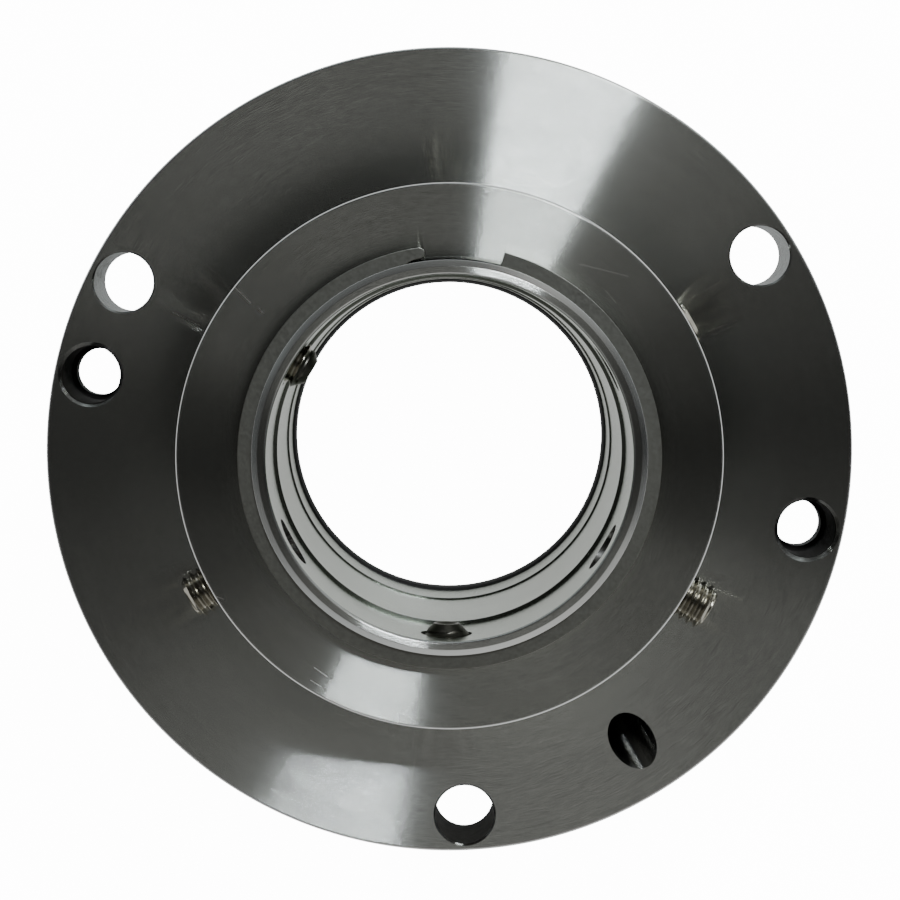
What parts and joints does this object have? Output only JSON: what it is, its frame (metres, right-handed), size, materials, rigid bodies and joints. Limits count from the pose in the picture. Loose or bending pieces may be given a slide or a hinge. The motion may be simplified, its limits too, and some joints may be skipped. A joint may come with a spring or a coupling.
{
  "type": "cartridge mechanical seal",
  "caption": "Cartridge shaft seal for a pump: round flange with a pilot, a stepped sleeve clamped by a collar with radial screws, and a sprung pair of sealing rings inside.",
  "frame": {"origin": "centre of the sleeve's inboard end face, on the shaft's axis; the seal stands on that face", "axes": "+Z along the shaft, outboard, away from the pump; +X and +Y across the flange, +X to the right and +Y up when the outboard side is seen from the front"},
  "size_m": [0.1396, 0.1396, 0.0698],
  "materials": {
    "turned_steel": "turned stainless steel, fine concentric lines",
    "screw_steel": "satin alloy steel",
    "spring_steel": "matt stamped spring steel",
    "carbon": "fine matt carbon graphite",
    "ceramic": "lapped dark silicon carbide",
    "elastomer": "smooth black rubber"
  },
  "bodies": {
    "gland": {"gland_plate": "turned_steel", "gland_o_ring": "elastomer", "throttle_bushing": "carbon", "bushing_retaining_ring": "spring_steel", "nose_o_ring": "elastomer", "wave_spring": "spring_steel", "primary_retaining_ring": "spring_steel", "torque_pin_1": "screw_steel", "torque_pin_2": "screw_steel", "torque_pin_3": "screw_steel"},
    "rotor": {"shaft_sleeve": "turned_steel", "shaft_o_ring": "elastomer", "mating_ring": "ceramic", "mating_ring_o_ring": "elastomer", "drive_collar": "turned_steel", "collar_retaining_ring": "spring_steel", "drive_pin_1": "screw_steel", "drive_pin_2": "screw_steel", "drive_pin_3": "screw_steel"},
    "primary_ring": {"primary_ring_holder": "turned_steel", "primary_ring_insert": "carbon", "thrust_disc": "spring_steel"},
    "screw_1": {"set_screw_1": "screw_steel"},
    "screw_2": {"set_screw_2": "screw_steel"},
    "screw_3": {"set_screw_3": "screw_steel"},
    "screw_4": {"set_screw_4": "screw_steel"},
    "screw_5": {"set_screw_5": "screw_steel"},
    "screw_6": {"set_screw_6": "screw_steel"}
  },
  "joints": [
    {"name": "rotor_spin", "type": "hinge", "parent": "gland", "child": "rotor", "pos_m": [0, 0, 0.0545], "axis": [0, 0, 1], "continuous": true},
    {"name": "primary_ring_float", "type": "slide", "parent": "gland", "child": "primary_ring", "axis": [0, 0, 1], "range_m": [0, 0.0015], "stiffness_N_per_m": 5000, "springref_m": -0.006, "deforming": ["wave_spring"]},
    {"name": "set_screw_1_feed", "type": "slide", "parent": "rotor", "child": "screw_1", "axis": [0.8746, 0.4848, 0], "range_m": [-0.0069, 0.0046]},
    {"name": "set_screw_2_feed", "type": "slide", "parent": "rotor", "child": "screw_2", "axis": [0.0175, 0.9998, 0], "range_m": [-0.006, 0.0055]},
    {"name": "set_screw_3_feed", "type": "slide", "parent": "rotor", "child": "screw_3", "axis": [-0.8572, 0.515, 0], "range_m": [0, 0.0115]},
    {"name": "set_screw_4_feed", "type": "slide", "parent": "rotor", "child": "screw_4", "axis": [-0.8746, -0.4848, 0], "range_m": [-0.0104, 0.0011]},
    {"name": "set_screw_5_feed", "type": "slide", "parent": "rotor", "child": "screw_5", "axis": [-0.0175, -0.9998, 0], "range_m": [-0.0013, 0.0102]},
    {"name": "set_screw_6_feed", "type": "slide", "parent": "rotor", "child": "screw_6", "axis": [0.8572, -0.515, 0], "range_m": [-0.0113, 0.0002]}
  ]
}
